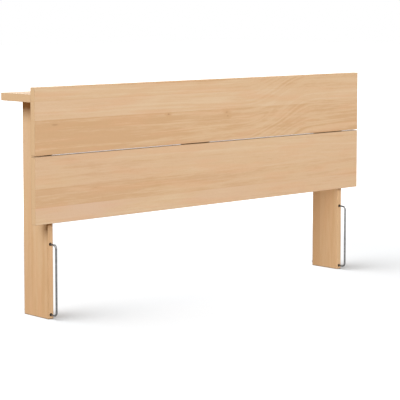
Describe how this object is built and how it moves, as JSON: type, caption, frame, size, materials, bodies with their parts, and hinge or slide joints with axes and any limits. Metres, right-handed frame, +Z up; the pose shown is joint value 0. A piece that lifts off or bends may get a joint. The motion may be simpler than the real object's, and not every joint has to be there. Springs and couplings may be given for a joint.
{
  "type": "headboard with shelf",
  "caption": "Free-standing solid-wood bed headboard: boards on plank legs, a shelf along their back and steel clamp bows on the legs.",
  "frame": {"origin": "on the floor, under the middle of the headboard's length and of its whole depth", "axes": "+X along the boards to the right as seen from the bed, +Y from the bed to the wall, +Z up"},
  "size_m": [1.8, 0.223, 0.88],
  "materials": {
    "beech": "oiled solid beech, edge-glued staves",
    "dowel_wood": "plain beech dowel",
    "steel_rod": "drawn bright steel",
    "zinc_steel": "zinc plated",
    "brass": "turned brass"
  },
  "bodies": {
    "headboard": {"lower_board": "beech", "upper_board": "beech", "shelf": "beech", "left_leg": "beech", "right_leg": "beech", "centre_support": "beech", "left_bow_washer": "zinc_steel", "right_bow_washer": "zinc_steel", "left_leg_bolt_1": "zinc_steel", "left_leg_bolt_2": "zinc_steel", "left_leg_bolt_3": "zinc_steel", "left_leg_bolt_4": "zinc_steel", "centre_support_bolt_1": "zinc_steel", "centre_support_bolt_2": "zinc_steel", "centre_support_bolt_3": "zinc_steel", "centre_support_bolt_4": "zinc_steel", "right_leg_bolt_1": "zinc_steel", "right_leg_bolt_2": "zinc_steel", "right_leg_bolt_3": "zinc_steel", "right_leg_bolt_4": "zinc_steel", "left_leg_insert_1": "brass", "left_leg_insert_2": "brass", "left_leg_insert_3": "brass", "left_leg_insert_4": "brass", "centre_support_insert_1": "brass", "centre_support_insert_2": "brass", "centre_support_insert_3": "brass", "centre_support_insert_4": "brass", "right_leg_insert_1": "brass", "right_leg_insert_2": "brass", "right_leg_insert_3": "brass", "right_leg_insert_4": "brass", "left_leg_dowel_1": "dowel_wood", "left_leg_dowel_2": "dowel_wood", "centre_support_dowel_1": "dowel_wood", "centre_support_dowel_2": "dowel_wood", "right_leg_dowel_1": "dowel_wood", "right_leg_dowel_2": "dowel_wood", "shelf_edge_dowel_1": "dowel_wood", "shelf_edge_dowel_2": "dowel_wood", "shelf_edge_dowel_3": "dowel_wood", "shelf_edge_dowel_4": "dowel_wood", "shelf_edge_dowel_5": "dowel_wood", "shelf_edge_dowel_6": "dowel_wood"},
    "left_bow": {"left_bow": "steel_rod"},
    "right_bow": {"right_bow": "steel_rod"},
    "left_nut": {"left_bow_nut": "zinc_steel"},
    "right_nut": {"right_bow_nut": "zinc_steel"}
  },
  "joints": [
    {"name": "left_bow_slide", "type": "slide", "parent": "headboard", "child": "left_bow", "axis": [0, 1, 0], "range_m": [0, 0.015]},
    {"name": "left_nut_turn", "type": "hinge", "parent": "headboard", "child": "left_nut", "pos_m": [-0.8125, 0.08235, 0.016], "axis": [0, -1, 0], "range_deg": [0, 4320]},
    {"name": "right_bow_slide", "type": "slide", "parent": "headboard", "child": "right_bow", "axis": [0, 1, 0], "range_m": [0, 0.015]},
    {"name": "right_nut_turn", "type": "hinge", "parent": "headboard", "child": "right_nut", "pos_m": [0.8125, 0.08235, 0.016], "axis": [0, -1, 0], "range_deg": [0, 4320]}
  ],
  "couplings": [
    {"joint": "left_nut_turn", "follows": "left_bow_slide", "rad_per_m": 5026.5},
    {"joint": "right_nut_turn", "follows": "right_bow_slide", "rad_per_m": 5026.5}
  ]
}
